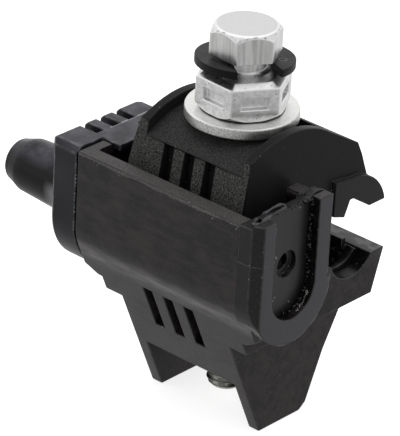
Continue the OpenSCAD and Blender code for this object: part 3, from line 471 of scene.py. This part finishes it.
# dresses a copy of a CAD node: slivers gone, triangles joined to quads, edges rounded in their own finish
def roundedCopy(name, piece, material, edgeMaterial=None):
    mesh = nodes[piece["node"]].data.copy()
    mesh.name = name
    mesh.materials.clear()
    mesh.materials.append(material)
    copy = bpy.data.objects.new(name, mesh)
    scene.collection.objects.link(copy)
    flat = math.radians(edgeRounding["flat"])
    work = bmesh.new()
    work.from_mesh(mesh)
    bmesh.ops.remove_doubles(work, verts=work.verts, dist=edgeRounding["join"] * mm)
    bmesh.ops.dissolve_degenerate(work, dist=edgeRounding["sliver"] * mm, edges=work.edges)
    bmesh.ops.dissolve_limit(work, angle_limit=flat, use_dissolve_boundaries=False,
                             verts=work.verts, edges=work.edges, delimit=set())
    bmesh.ops.triangulate(work, faces=[face for face in work.faces if len(face.verts) > 4])
    bmesh.ops.join_triangles(work, faces=work.faces, angle_face_threshold=flat,
                             angle_shape_threshold=math.radians(edgeRounding["quad"]))
    for face in work.faces:
        face.smooth = True
        face.material_index = 0
    work.to_mesh(mesh)
    work.free()
    bevel = copy.modifiers.new("edge", "BEVEL")
    bevel.width = piece["edge"] * mm
    bevel.segments = edgeRounding["segments"]
    bevel.limit_method = "ANGLE"
    bevel.angle_limit = math.radians(edgeRounding["sharpFrom"])
    bevel.use_clamp_overlap = False
    bevel.loop_slide = False
    if edgeMaterial:
        mesh.materials.append(edgeMaterial)
        bevel.material = 1
    weight = copy.modifiers.new("shade", "WEIGHTED_NORMAL")
    weight.keep_sharp = False
    weight.mode = "FACE_AREA"
    finished = bpy.data.meshes.new_from_object(copy.evaluated_get(bpy.context.evaluated_depsgraph_get()))
    copy.modifiers.clear()
    copy.data = finished
    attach(copy, piece["body"])
    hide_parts(piece["node"])


lowerHousing = {"node": "lower_body", "body": "lower", "slot": "housing", "edge": 0.22}
roundedCopy("lowerHousing", lowerHousing, lowerNylon, nylonEdge)

coverHousing = {"node": "upper_body", "body": "upper", "slot": "housing", "edge": 0.25}
roundedCopy("coverHousing", coverHousing, coverNylon, coverEdge)

wireCap = {"node": "end_cap", "body": "cap", "slot": "elastomer", "edge": 0.3}
roundedCopy("wireCap", wireCap, capRubber, capEdge)

entrySeal = {"node": "entry_seal", "body": "lower", "slot": "elastomer", "edge": 0.15}
roundedCopy("entrySeal", entrySeal, sealRubber, sealEdge)

shearHead = {"node": "shear_head", "body": "bolt", "slot": "cast_alloy", "edge": 0.25}
roundedCopy("shearHead", shearHead, castAlloy, castEdge)

neckRing = {"node": "split_ring", "body": "bolt", "slot": "elastomer", "edge": 0.15}
roundedCopy("neckRing", neckRing, ringPlastic)

seatWasher = {"node": "washer", "body": "upper", "slot": "plated_steel", "edge": 0.4}
roundedCopy("seatWasher", seatWasher, washerZinc)

captiveNut = {"node": "captive_nut", "body": "lower", "slot": "plated_steel", "edge": 0.12}
roundedCopy("captiveNut", captiveNut, studZinc)
print("housings, cap and hardware made")

contactBlade = {"edge": 0.08}
for level in ("upper", "lower"):
    for end in ("front", "rear"):
        blade = {"node": f"{level}_blade_{end}", "body": level, "slot": "tinned_blade", **contactBlade}
        roundedCopy(f"{level}Blade_{end}", blade, shadedBladeTin)

contactPad = {"edge": 0.1}
for level in ("upper", "lower"):
    for channel in ("main", "branch"):
        pad = {"node": f"{level}_{channel}_seal", "body": level, "slot": "elastomer", **contactPad}
        roundedCopy(f"{level}Pad_{channel}", pad, sealRubber, capEdge)
print("blades and pads made")


# new geometry tree with named inputs for its sizes and counts; gives the tree and what comes in
def openTree(name, sizes, counts=()):
    tree = bpy.data.node_groups.new(name, "GeometryNodeTree")
    sockets = [("Geometry", "Geometry")] + [(size, "Float") for size in sizes]
    sockets += [(count, "Int") for count in counts] + [("material", "Material")]
    for socket, kind in sockets:
        tree.interface.new_socket(socket, in_out="INPUT", socket_type=f"NodeSocket{kind}")
    tree.interface.new_socket("Geometry", in_out="OUTPUT", socket_type="NodeSocketGeometry")
    return tree, addNode(tree, "NodeGroupInput").outputs


# ends a geometry tree: instances made real and the material set
def closeTree(tree, shape, given):
    real = addNode(tree, "GeometryNodeRealizeInstances", {0: shape})
    dressed = addNode(tree, "GeometryNodeSetMaterial", {"Geometry": real, "Material": given["material"]})
    addNode(tree, "NodeGroupOutput", {0: dressed})
    return tree


# runs a tree on points joined one after another or by the links given, and keeps the result as a plain
# mesh; inputs are set by identifier, and sizes and points come in mm
def meshFromTree(name, tree, values, points=(), links=None):
    if links is None:
        links = [(k, k + 1) for k in range(len(points) - 1)]
    start = bpy.data.meshes.new(name)
    start.from_pydata([tuple(v * mm for v in point) for point in points], links, [])
    made = bpy.data.objects.new(name, start)
    scene.collection.objects.link(made)
    maker = made.modifiers.new("nodes", "NODES")
    maker.node_group = tree
    for socket in tree.interface.items_tree:
        if socket.in_out == "INPUT" and socket.name in values:
            value = values[socket.name]
            maker[socket.identifier] = value * mm if socket.socket_type == "NodeSocketFloat" else value
    finished = bpy.data.meshes.new_from_object(made.evaluated_get(bpy.context.evaluated_depsgraph_get()))
    made.modifiers.clear()
    made.data = finished
    return made


# threaded stud, a turned bar whose radius follows the thread; crest and root are where the flank starts and
# ends, as shares of the pitch
studThread = {"radius": 4.0, "depth": 0.62, "pitch": 1.25, "around": 36, "perTurn": 8, "lead": 1.0,
              "crest": 0.06, "root": 0.44}


def threadTree():
    sizes = ("radius", "depth", "pitch", "low", "high", "lead")
    tree, given = openTree("studThread", sizes, ("around", "rows"))
    length = addNode(tree, "ShaderNodeMath", {0: given["high"], 1: given["low"]}, operation="SUBTRACT")
    middle = addNode(tree, "ShaderNodeMath", {
        0: length, 1: 0.5, 2: given["low"]}, operation="MULTIPLY_ADD")
    bar = addNode(tree, "GeometryNodeMeshCylinder", {
        "Vertices": given["around"], "Side Segments": given["rows"], "Radius": 1.0, "Depth": length},
        fill_type="NGON")
    spot = addNode(tree, "ShaderNodeSeparateXYZ", {0: addNode(tree, "GeometryNodeInputPosition")}).outputs
    height = addNode(tree, "ShaderNodeMath", {0: spot[2], 1: middle}, operation="ADD")
    turn = addNode(tree, "ShaderNodeMath", {0: spot[1], 1: spot[0]}, operation="ARCTAN2")
    share = addNode(tree, "ShaderNodeMath", {0: turn, 1: 2 * math.pi}, operation="DIVIDE")
    count = addNode(tree, "ShaderNodeMath", {0: height, 1: given["pitch"]}, operation="DIVIDE")
    phase = addNode(tree, "ShaderNodeMath", {0: count, 1: share}, operation="SUBTRACT")
    wave = addNode(tree, "ShaderNodeMath", {0: phase, 1: 0.5}, operation="PINGPONG")
    cut = zone(tree, given["depth"], (wave, (studThread["crest"], studThread["root"])))
    crest = addNode(tree, "ShaderNodeMath", {0: given["radius"], 1: cut}, operation="SUBTRACT")
    # the lower end is turned to a lead-in cone
    risen = addNode(tree, "ShaderNodeMath", {0: height, 1: given["low"]}, operation="SUBTRACT")
    inner = addNode(tree, "ShaderNodeMath", {0: given["radius"], 1: given["lead"]}, operation="SUBTRACT")
    cone = addNode(tree, "ShaderNodeMath", {0: inner, 1: risen}, operation="ADD")
    reach = addNode(tree, "ShaderNodeMath", {0: crest, 1: cone}, operation="MINIMUM")
    outX = addNode(tree, "ShaderNodeMath", {0: spot[0], 1: reach}, operation="MULTIPLY")
    outY = addNode(tree, "ShaderNodeMath", {0: spot[1], 1: reach}, operation="MULTIPLY")
    place = addNode(tree, "ShaderNodeCombineXYZ", {0: outX, 1: outY, 2: height})
    shaped = addNode(tree, "GeometryNodeSetPosition", {"Geometry": bar, "Position": place})
    return closeTree(tree, shaped, given)


low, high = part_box("clamp_bolt")
rows = int((high.z - low.z) / mm / studThread["pitch"] * studThread["perTurn"])
stud = meshFromTree("studThread", threadTree(), {
    **studThread, "low": low.z / mm, "high": high.z / mm, "rows": rows, "material": studZinc})
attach(stud, "bolt")
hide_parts("clamp_bolt")
print("stud made,", len(stud.data.polygons), "faces")


# shards of flash along a path, set proud and loose of it at random; one is a low four-sided cone, stretched
# and turned at random
shardCone = {"Vertices": 4, "Radius Top": 0.15, "Radius Bottom": 0.5, "Depth": 0.7}
fullTurn = 6.28


def shardTree():
    tree, given = openTree("sealFlash", ("spacing", "small", "large", "loose", "proud"), ("seed",))
    path = addNode(tree, "GeometryNodeMeshToCurve", {0: given["Geometry"]})
    dots = addNode(tree, "GeometryNodeCurveToPoints", {
        0: path, "Length": given["spacing"]}, mode="LENGTH")
    back = addNode(tree, "ShaderNodeMath", {0: given["loose"], 1: -1.0}, operation="MULTIPLY")
    least = addNode(tree, "ShaderNodeCombineXYZ", {0: 0.0, 1: back, 2: back})
    most = addNode(tree, "ShaderNodeCombineXYZ", {
        0: given["proud"], 1: given["loose"], 2: given["loose"]})
    smallest = addNode(tree, "ShaderNodeCombineXYZ", {k: given["small"] for k in range(3)})
    largest = addNode(tree, "ShaderNodeCombineXYZ", {k: given["large"] for k in range(3)})
    shift, turn, size = [addNode(tree, "FunctionNodeRandomValue", {
        0: lower, 1: upper, "Seed": given["seed"]}, data_type="FLOAT_VECTOR")
        for lower, upper in ((least, most), ((0.0,) * 3, (fullTurn,) * 3), (smallest, largest))]
    moved = addNode(tree, "GeometryNodeSetPosition", {"Geometry": dots, "Offset": shift})
    shard = addNode(tree, "GeometryNodeMeshCone", shardCone)
    placed = addNode(tree, "GeometryNodeInstanceOnPoints", {
        "Points": moved, "Instance": shard, "Rotation": turn, "Scale": size})
    return closeTree(tree, placed, given)


flashRubber = rubbedEdge("tornElastomerFlash", {
    "wearMm": 0.5, "dark": "#040405", "pale": "#1c1c1f",
    "crumb": (0.4, 0.12), "crumbColour": "#c4c4c4", "rough": (0.12, 0.3), "gloss": 0.6})
# pale rubber for crumbs of flash, and for shards that stand as painted glints at the seal's bend and on the
# frame's nib
crumbAndGlintRubber = rubbedEdge("crumbledElastomerFlashAndGlint", {
    "wearMm": 0.8, "dark": "#5a5958", "pale": "#d8d6d2",
    "crumb": (0.5, 0.1), "crumbColour": "#efeeec", "rough": (0.4, 0.6)})
branchY = -11.0  # middle of the trough, where the branch wire lies


# points in the plane at x on an arc about the branch wire, in equal steps of degrees downwards from +Y
def arcPath(x, middleZ, radius, first, stride, count):
    turns = [-math.radians(first + stride * k) for k in range(count)]
    return [(x, branchY + radius * math.cos(turn), middleZ + radius * math.sin(turn)) for turn in turns]


# torn flash of the seal: along the frame's opening, with pale shards as painted glints where it bends, on
# the plate's top, round the hole, and a nib on the frame, pale as its painted highlight
sealFlash = {
    "edge": {"path": [(22.85, -5.0, 55.0)] + arcPath(22.85, 38.2, 6.0, 0, 8, 13), "material": flashRubber,
             "spacing": 0.24, "small": 0.22, "large": 0.8, "loose": 0.25, "proud": 0.5, "seed": 4},
    "glint": {"path": arcPath(23.9, 37.6, 5.75, 18, 8, 7), "material": crumbAndGlintRubber,
              "spacing": 0.22, "small": 0.12, "large": 0.5, "loose": 0.12, "proud": 0.3, "seed": 3},
    "brim": {"path": [(22.45, -17.0, 55.0), (22.55, -11.0, 55.1), (22.85, -5.0, 55.0)],
             "material": flashRubber,
             "spacing": 0.25, "small": 0.25, "large": 0.9, "loose": 0.2, "proud": 0.1, "seed": 9},
    "hole": {"path": arcPath(22.85, 43.1, 2.8, 20, 10, 15), "material": flashRubber,
             "spacing": 0.25, "small": 0.1, "large": 0.35, "loose": 0.08, "proud": 0.1, "seed": 2},
    "frame": {"path": [(24.6, -17.2, 46.3), (24.6, -16.95, 47.5)], "material": crumbAndGlintRubber,
              "spacing": 0.2, "small": 0.3, "large": 0.55, "loose": 0.1, "proud": 0.05, "seed": 5},
}
shards = shardTree()
for part, torn in sealFlash.items():
    flash = meshFromTree(f"sealFlash_{part}", shards, torn, torn["path"])
    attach(flash, "lower")
    print("seal's flash made,", part, len(flash.data.polygons), "faces")


# round strip along a path, its thickness uneven in ripples: noise seldom leaves the middle third of its
# range, so it counts three times, and the strip keeps a least share of its thickness
stripShape = {"sides": 7, "swing": 3.0, "leastShare": 0.4}


def lipTree():
    tree, given = openTree("tornLip", ("thick", "uneven", "step", "ripple"))
    path = addNode(tree, "GeometryNodeMeshToCurve", {0: given["Geometry"]})
    smooth = addNode(tree, "GeometryNodeCurveSplineType", {0: path}, spline_type="CATMULL_ROM")
    even = addNode(tree, "GeometryNodeResampleCurve", {
        "Curve": smooth, "Length": given["step"]}, mode="LENGTH")
    ripples = addNode(tree, "ShaderNodeMath", {0: 1.0, 1: given["ripple"]}, operation="DIVIDE")
    wave = addNode(tree, "ShaderNodeTexNoise", {"Scale": ripples, "Detail": 1.0})
    spread = addNode(tree, "ShaderNodeMath", {0: wave, 1: 0.5}, operation="SUBTRACT")
    extra = addNode(tree, "ShaderNodeMath", {0: spread, 1: given["uneven"]}, operation="MULTIPLY")
    width = addNode(tree, "ShaderNodeMath", {
        0: extra, 1: stripShape["swing"], 2: given["thick"]}, operation="MULTIPLY_ADD")
    least = addNode(tree, "ShaderNodeMath", {
        0: given["thick"], 1: stripShape["leastShare"]}, operation="MULTIPLY")
    radius = addNode(tree, "ShaderNodeMath", {0: width, 1: least}, operation="MAXIMUM")
    ring = addNode(tree, "GeometryNodeCurvePrimitiveCircle", {
        "Resolution": stripShape["sides"], "Radius": 1.0})
    tube = addNode(tree, "GeometryNodeCurveToMesh", {
        "Curve": even, "Profile Curve": ring, "Scale": radius, "Fill Caps": True})
    return closeTree(tree, tube, given)


# lip of rubber torn loose from the seal's top edge, a loop of uneven thickness that lies on seal and frame
lipRubber = rubbedEdge("tornElastomerLip", {
    "wearMm": 1.5, "dark": "#101011", "pale": "#48484c",
    "crumb": (0.5, 0.06), "crumbColour": "#c4c4c4", "rough": (0.25, 0.45)})
tornLip = {
    "loop": ((20.9, -18.0, 54.6), (21.1, -15.6, 55.4), (21.0, -12.8, 55.5), (21.3, -11.4, 55.4),
             (22.3, -12.0, 55.3), (22.6, -14.4, 55.4), (22.6, -17.0, 55.3), (22.6, -19.0, 54.6),
             (22.0, -20.3, 54.4), (21.2, -19.6, 54.4)),
    "flap": ((22.5, -20.8, 54.4), (22.7, -19.3, 54.6), (22.7, -17.6, 55.1), (22.5, -15.6, 55.3)),
    "thick": 0.36, "uneven": 0.4, "step": 0.3, "ripple": 0.9, "material": lipRubber,
}
loopCount, flapCount = len(tornLip["loop"]), len(tornLip["flap"])
links = [(k, (k + 1) % loopCount) for k in range(loopCount)]
links += [(loopCount + k, loopCount + k + 1) for k in range(flapCount - 1)]
strips = lipTree()
lip = meshFromTree("tornLip", strips, tornLip, tornLip["loop"] + tornLip["flap"], links)
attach(lip, "lower")
print("torn lip made,", len(lip.data.polygons), "faces")

# crumbs of flash on the cap's edge, along the gap beside the housing
gapCrumbs = {
    "path": ((-23.5, -21.78, 51.0), (-23.5, -21.78, 36.5)), "material": crumbAndGlintRubber,
    "spacing": 0.8, "small": 0.12, "large": 0.36, "loose": 0.05, "proud": 0.15, "seed": 7,
}
crumbs = meshFromTree("gapCrumbs", shards, gapCrumbs, gapCrumbs["path"])
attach(crumbs, "cap")

# fine line of flash on the entry frame's outer edge, where the mould halves met: down the post and round
lineNylon = rubbedEdge("flashLineNylon", {
    "wearMm": 2.5, "dark": "#2a2a2a", "pale": "#a3a1a0",
    "crumb": (0.6, 0.1), "crumbColour": "#d0cfcc", "rough": (0.3, 0.5)})
flashLine = {
    "path": [(24.88, -0.9, 55.6), (24.88, -0.9, 50.0), (24.88, -0.9, 44.0), (24.88, -0.9, 38.4),
             (24.88, -0.85, 37.65), (24.88, -0.4, 37.6)] + arcPath(24.88, 37.6, 11.0, 0, 8, 15),
    "thick": 0.08, "uneven": 0.05, "step": 0.4, "ripple": 2.0, "material": lineNylon,
}
line = meshFromTree("flashLine", strips, flashLine, flashLine["path"])
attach(line, "lower")
print("crumbs and flash line made")

# pale paper floor: white to the camera with the object's shadow on it, dimmer in front for reflections
studioFloor = {"size": 6.0, "drop": 0.0001, "colour": "#f4f4f4", "bounce": "#a8a8a8", "glow": 0.75,
               "reach": 0.12}
studioRoom = {"middle": 0.63, "back": 0.26, "bend": 0.11, "left": 0.03, "diffuse": 0.8, "colour": "#ffffff"}
towardsBack = Vector((-camera["back"][0], -camera["back"][1], 0.0)).normalized()
towardsLeft = Vector((-camera["right"][0], -camera["right"][1], 0.0)).normalized()


# light that a reflection meets along a direction: white backdrop behind, paper beside, dim room in front
def roomLevel(tree, direction):
    along = addNode(tree, "ShaderNodeVectorMath", {0: direction, 1: towardsBack}, operation="DOT_PRODUCT")
    aside = addNode(tree, "ShaderNodeVectorMath", {0: direction, 1: towardsLeft}, operation="DOT_PRODUCT")
    bend = addNode(tree, "ShaderNodeMath", {
        0: along, 1: studioRoom["bend"], 2: studioRoom["back"]}, operation="MULTIPLY_ADD")
    depth = addNode(tree, "ShaderNodeMath", {
        0: bend, 1: along, 2: studioRoom["middle"]}, operation="MULTIPLY_ADD")
    return addNode(tree, "ShaderNodeMath", {
        0: aside, 1: studioRoom["left"], 2: depth}, operation="MULTIPLY_ADD")


# what a ray is: whether it reflects, and whether it goes to the camera straight or through glass
def rayKind(tree):
    path = addNode(tree, "ShaderNodeLightPath").outputs
    clear = addNode(tree, "ShaderNodeMath", {
        0: path["Is Camera Ray"], 1: path["Is Transmission Ray"]}, operation="ADD", use_clamp=True)
    return path["Is Glossy Ray"], clear


floorMesh = bpy.data.meshes.new("studioFloor")
half = studioFloor["size"] / 2
level = -studioFloor["drop"]
corners = [(-half, -half, level), (half, -half, level), (half, half, level), (-half, half, level)]
floorMesh.from_pydata(corners, [], [(0, 1, 2, 3)])
floor = bpy.data.objects.new("studioFloor", floorMesh)
scene.collection.objects.link(floor)
floorPaper, tree = newMaterial("studioPaper")
glossy, clear = rayKind(tree)
place = addNode(tree, "ShaderNodeTexCoord").outputs["Object"]
lifted = addNode(tree, "ShaderNodeVectorMath", {
    0: place, 1: (0.0, 0.0, studioFloor["reach"])}, operation="ADD")
outward = addNode(tree, "ShaderNodeVectorMath", {0: lifted}, operation="NORMALIZE")
matt = addNode(tree, "ShaderNodeBsdfDiffuse", {"Color": studioFloor["colour"]})
dim = addNode(tree, "ShaderNodeBsdfDiffuse", {"Color": studioFloor["bounce"]})
glow = addNode(tree, "ShaderNodeEmission", {
    "Color": studioRoom["colour"], "Strength": studioFloor["glow"]})
lit = addNode(tree, "ShaderNodeAddShader", {0: matt, 1: glow})
mirrored = addNode(tree, "ShaderNodeEmission", {
    "Color": studioRoom["colour"], "Strength": roomLevel(tree, outward)})
plain = addNode(tree, "ShaderNodeMixShader", {0: glossy, 1: dim, 2: mirrored})
choice = addNode(tree, "ShaderNodeMixShader", {0: clear, 1: plain, 2: lit})
addNode(tree, "ShaderNodeOutputMaterial", {"Surface": choice})
floorMesh.materials.append(floorPaper)

# white room to the camera; metal sees the bright backdrop behind the object and the dimmer room in front
world = bpy.data.worlds.new("studioRoom")
scene.world = world
world.use_nodes = True
tree = world.node_tree
tree.nodes.clear()
glossy, clear = rayKind(tree)
wall = roomLevel(tree, addNode(tree, "ShaderNodeTexCoord").outputs["Generated"])
soft = addNode(tree, "ShaderNodeMath", {0: wall, 1: studioRoom["diffuse"]}, operation="MULTIPLY")
seen = addNode(tree, "ShaderNodeMix", {0: glossy, 2: soft, 3: wall})
strength = addNode(tree, "ShaderNodeMix", {0: clear, 2: seen, 3: 1.0})
backdrop = addNode(tree, "ShaderNodeBackground", {"Color": studioRoom["colour"], "Strength": strength})
addNode(tree, "ShaderNodeOutputWorld", {"Surface": backdrop})

# softboxes: place, size and power, all aimed at the clamp's middle
boxAim = Vector((0.0, 0.0, 0.04))
softboxes = {
    "overhead": {"place": (-0.15, 0.15, 0.9), "size": (1.2, 1.2), "power": 2.2},
    "left": {"place": (-0.75, -0.6, 0.45), "size": (1.3, 1.0), "power": 1.0},
    "right": {"place": (0.85, 0.2, 0.45), "size": (1.2, 1.0), "power": 1.0},
}
for name, box in softboxes.items():
    lamp = bpy.data.lights.new(name, "AREA")
    lamp.shape = "RECTANGLE"
    lamp.size, lamp.size_y = box["size"]
    lamp.energy = box["power"]
    lampObject = bpy.data.objects.new(name, lamp)
    scene.collection.objects.link(lampObject)
    lampObject.location = box["place"]
    aim = boxAim - Vector(box["place"])
    lampObject.rotation_euler = aim.to_track_quat("-Z", "Y").to_euler()
print("floor, room and lamps made")
